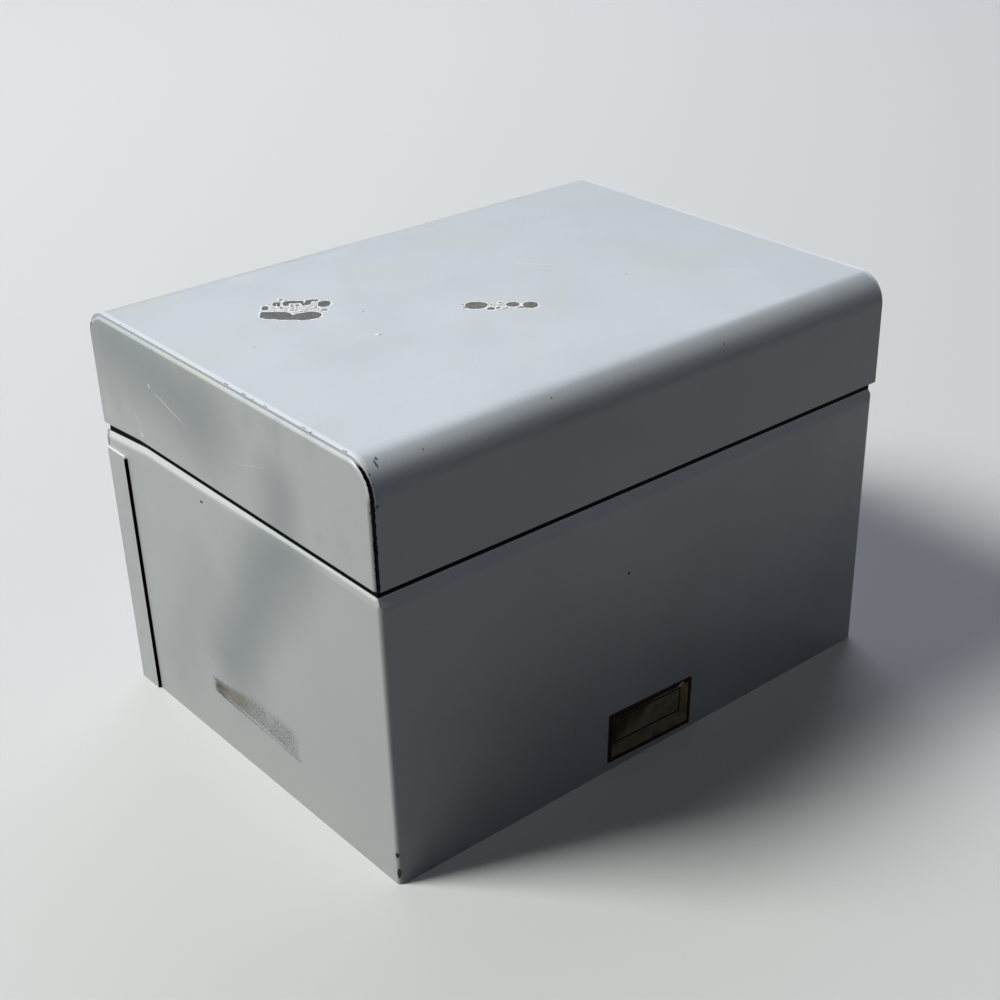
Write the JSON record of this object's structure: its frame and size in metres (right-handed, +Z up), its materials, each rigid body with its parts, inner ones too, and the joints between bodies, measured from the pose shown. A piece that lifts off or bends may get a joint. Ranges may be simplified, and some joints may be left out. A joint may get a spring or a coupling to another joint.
{
  "type": "index card box",
  "caption": "Sheet-steel index card box with a deep hinged lid, a shouldered body, a recessed bottom and a leaning card follower that slides on a central rail.",
  "frame": {"origin": "on the table under the middle of the body", "axes": "+X along the width to the right, +Y to the back where the hinges are, +Z up"},
  "size_m": [0.2178, 0.1618, 0.1465],
  "materials": {
    "grey_enamel": "semi-gloss grey enamel, worn and chipped at edges",
    "plated_steel": "dull zinc plating",
    "spring_steel": "blued spring steel",
    "label_foil": "tarnished gold-coloured foil with a dark border, blank"
  },
  "bodies": {
    "base": {"body_wrapper": "grey_enamel", "back_panel": "grey_enamel", "bottom_pan": "grey_enamel", "front_label": "label_foil", "card_rail": "plated_steel", "rail_rivets": "plated_steel", "hinge_left_base_leaf": "grey_enamel", "hinge_right_base_leaf": "grey_enamel", "hinge_left_pin": "plated_steel", "hinge_right_pin": "plated_steel"},
    "lid": {"lid_shell": "grey_enamel", "lid_end_left": "grey_enamel", "lid_end_right": "grey_enamel", "hinge_left_lid_leaf": "grey_enamel", "hinge_right_lid_leaf": "grey_enamel"},
    "follower": {"follower_plate": "grey_enamel", "follower_bracket": "plated_steel", "follower_slider": "plated_steel", "follower_spring": "spring_steel", "follower_rivets": "plated_steel"}
  },
  "joints": [
    {"name": "lid_hinge", "type": "hinge", "parent": "base", "child": "lid", "pos_m": [0, 0.07905, 0.1031], "axis": [-1, 0, 0], "range_deg": [0, 105]},
    {"name": "follower_slide", "type": "slide", "parent": "base", "child": "follower", "axis": [0, -1, 0], "range_m": [0, 0.11]}
  ]
}
